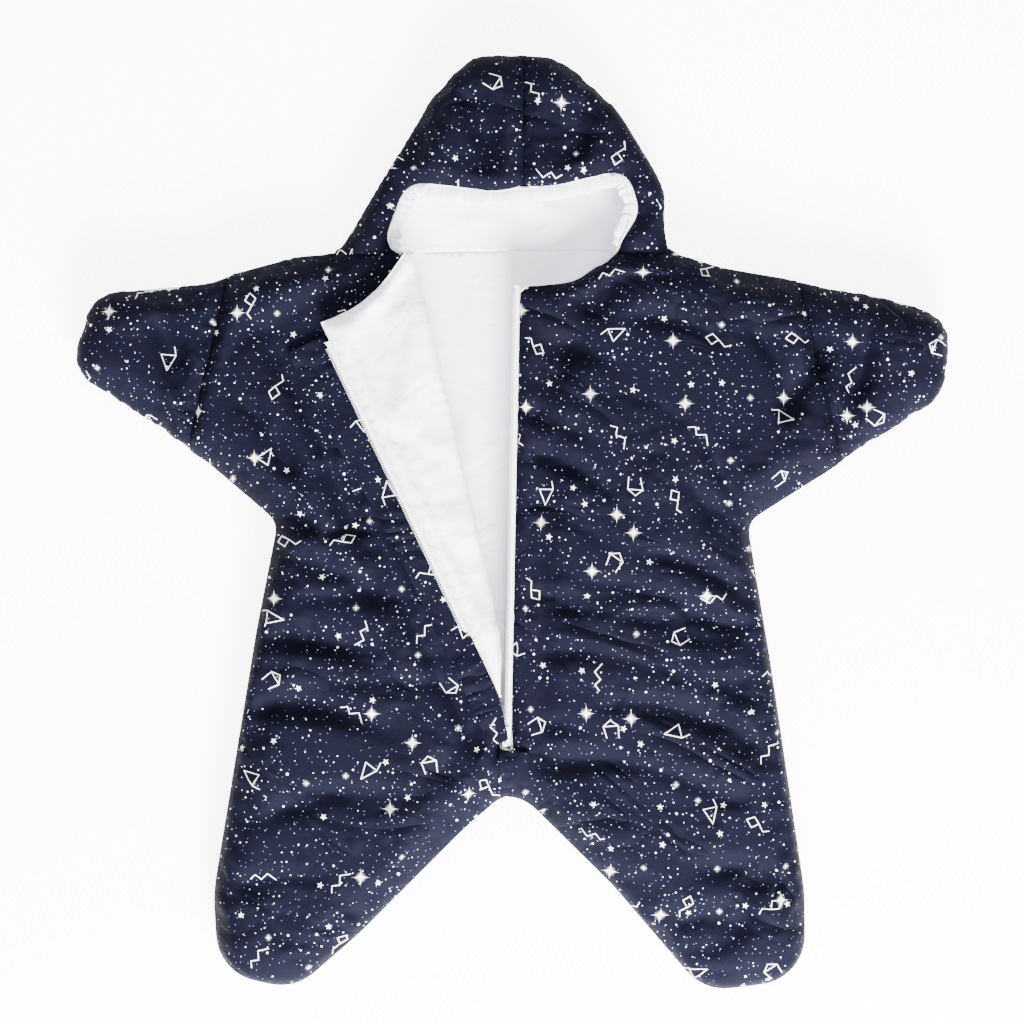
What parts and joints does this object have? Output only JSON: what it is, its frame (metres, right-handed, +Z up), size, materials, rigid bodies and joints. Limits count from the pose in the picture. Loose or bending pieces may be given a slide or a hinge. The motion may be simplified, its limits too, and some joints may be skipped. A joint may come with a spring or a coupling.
{
  "type": "baby sleeping bag",
  "caption": "Star-shaped hooded padded sleeping bag for a baby, lying flat with its front zip undone and one front panel folded open.",
  "frame": {"origin": "centre of the footprint, on the surface that the bag lies on", "axes": "+Y from the feet to the hood, +X across to the wearer's left arm, +Z up out of the front"},
  "size_m": [0.7499, 0.801, 0.0686],
  "materials": {
    "printed_cotton": "navy woven cotton with a fine white star print",
    "white_cotton": "soft white woven cotton",
    "padding": "white polyester wadding",
    "elastic": "white knitted elastic",
    "zip_tape": "white herringbone tape",
    "zip_plastic": "white moulded coil",
    "zip_metal": "white enamel"
  },
  "bodies": {
    "bag": {"back_outer": "printed_cotton", "back_padding": "padding", "back_lining": "white_cotton", "front_right_outer": "printed_cotton", "front_right_padding": "padding", "front_right_lining": "white_cotton", "front_left_outer": "printed_cotton", "front_left_padding": "padding", "front_left_lining": "white_cotton", "placket_tail": "printed_cotton", "zip_tape_right": "zip_tape", "zip_teeth_right": "zip_plastic", "zip_bottom_stop": "zip_metal", "zip_top_stop_right": "zip_metal"},
    "front_flap": {"flap_outer": "printed_cotton", "flap_padding": "padding", "flap_lining": "white_cotton", "placket": "printed_cotton", "zip_tape_left": "zip_tape", "zip_teeth_left": "zip_plastic", "zip_top_stop_left": "zip_metal"},
    "slider": {"zip_slider": "zip_metal"},
    "pull": {"pull_tab": "zip_metal"},
    "hood": {"hood_outer_left": "printed_cotton", "hood_outer_right": "printed_cotton", "hood_padding": "padding", "hood_lining": "white_cotton", "hood_casing": "white_cotton", "hood_elastic": "elastic"},
    "arm_tip_right": {"arm_tip_right_outer": "printed_cotton", "arm_tip_right_padding": "padding", "arm_tip_right_lining": "white_cotton"},
    "arm_tip_left": {"arm_tip_left_outer": "printed_cotton", "arm_tip_left_padding": "padding", "arm_tip_left_lining": "white_cotton"}
  },
  "joints": [
    {"name": "flap_fold", "type": "hinge", "parent": "bag", "child": "front_flap", "pos_m": [-0.0013, -0.191, 0.0513], "axis": [-0.2121, 0.9773, 0], "range_deg": [0, 180]},
    {"name": "zip_run", "type": "slide", "parent": "bag", "child": "slider", "axis": [0.0196, 0.9998, 0], "range_m": [0, 0.3717]},
    {"name": "pull_turn", "type": "hinge", "parent": "slider", "child": "pull", "pos_m": [-0.00609, -0.1802, 0.0483], "axis": [-0.9998, 0.0196, 0], "range_deg": [0, 180]},
    {"name": "hood_tip", "type": "hinge", "parent": "bag", "child": "hood", "pos_m": [0, 0.227, 0.05], "axis": [1, 0, 0], "range_deg": [0, 75]},
    {"name": "arm_tip_right_fold", "type": "hinge", "parent": "bag", "child": "arm_tip_right", "pos_m": [0.284, 0.03, 0.05], "axis": [0.2264, -0.974, 0], "range_deg": [0, 80]},
    {"name": "arm_tip_left_fold", "type": "hinge", "parent": "bag", "child": "arm_tip_left", "pos_m": [-0.284, 0.03, 0.05], "axis": [0.2314, 0.9729, 0], "range_deg": [0, 80]}
  ],
  "couplings": [
    {"joint": "zip_run", "follows": "flap_fold", "m_per_rad": 0.11831}
  ]
}
